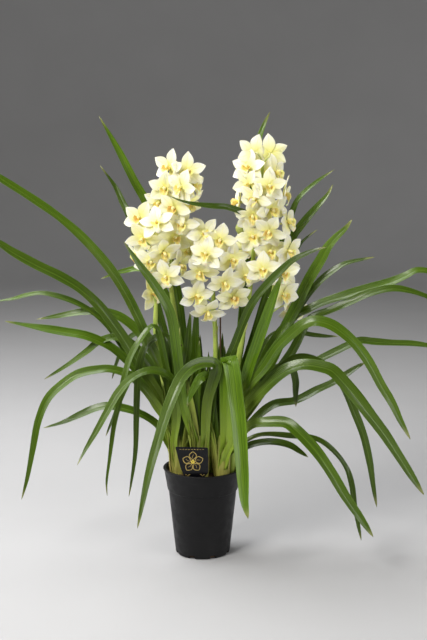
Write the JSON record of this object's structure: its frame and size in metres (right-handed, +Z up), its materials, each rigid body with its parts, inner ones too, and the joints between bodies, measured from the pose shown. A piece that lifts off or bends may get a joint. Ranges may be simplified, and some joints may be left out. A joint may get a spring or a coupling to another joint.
{
  "type": "potted orchid",
  "caption": "Bushy strap-leaved orchid with crowded arching sprays of cream blooms, growing in bark in a tall tapered black pot.",
  "frame": {"origin": "centre of the pot's flat underside, on the pot's axis", "axes": "+Z up along the pot's axis, -Y towards the front of the plant, +X to its right"},
  "size_m": [1.0721, 0.36, 0.9451],
  "materials": {
    "pot_plastic": "matte black moulded plastic",
    "bark_mix": "rough dry bark chips",
    "label_card": "smooth black printed card",
    "stick_wood": "plain dark stick",
    "clip_plastic": "plain",
    "leaf": "waxy green leaf, half gloss",
    "stem": "smooth yellow-green stem",
    "petal": "soft waxy cream petal"
  },
  "bodies": {
    "root": {"pot": "pot_plastic", "bark": "bark_mix", "label": "label_card", "stick": "stick_wood", "clip": "clip_plastic", "growth_front_left": "leaf", "growth_back_left": "leaf", "growth_front_centre": "leaf", "growth_front_right": "leaf", "growth_back_right": "leaf", "growth_back_centre": "leaf", "stalk_left": "stem", "stalk_top_left": "stem", "stalk_centre": "stem", "stalk_top_right": "stem", "stalk_right": "stem", "blooms_left_1": "petal", "blooms_left_2": "petal", "blooms_left_3": "petal", "blooms_left_4": "petal", "blooms_left_5": "petal", "blooms_left_6": "petal", "blooms_left_7": "petal", "blooms_left_8": "petal", "blooms_left_9": "petal", "blooms_left_10": "petal", "blooms_top_left_1": "petal", "blooms_top_left_2": "petal", "blooms_top_left_3": "petal", "blooms_top_left_4": "petal", "blooms_centre_1": "petal", "blooms_centre_2": "petal", "blooms_centre_3": "petal", "blooms_centre_4": "petal", "blooms_centre_5": "petal", "blooms_centre_6": "petal", "blooms_centre_7": "petal", "blooms_centre_8": "petal", "blooms_top_right_1": "petal", "blooms_top_right_2": "petal", "blooms_top_right_3": "petal", "blooms_top_right_4": "petal", "blooms_top_right_5": "petal", "blooms_right_1": "petal", "blooms_right_2": "petal", "blooms_right_3": "petal", "blooms_right_4": "petal", "blooms_right_5": "petal", "blooms_right_6": "petal", "blooms_right_7": "petal"}
  },
  "joints": []
}
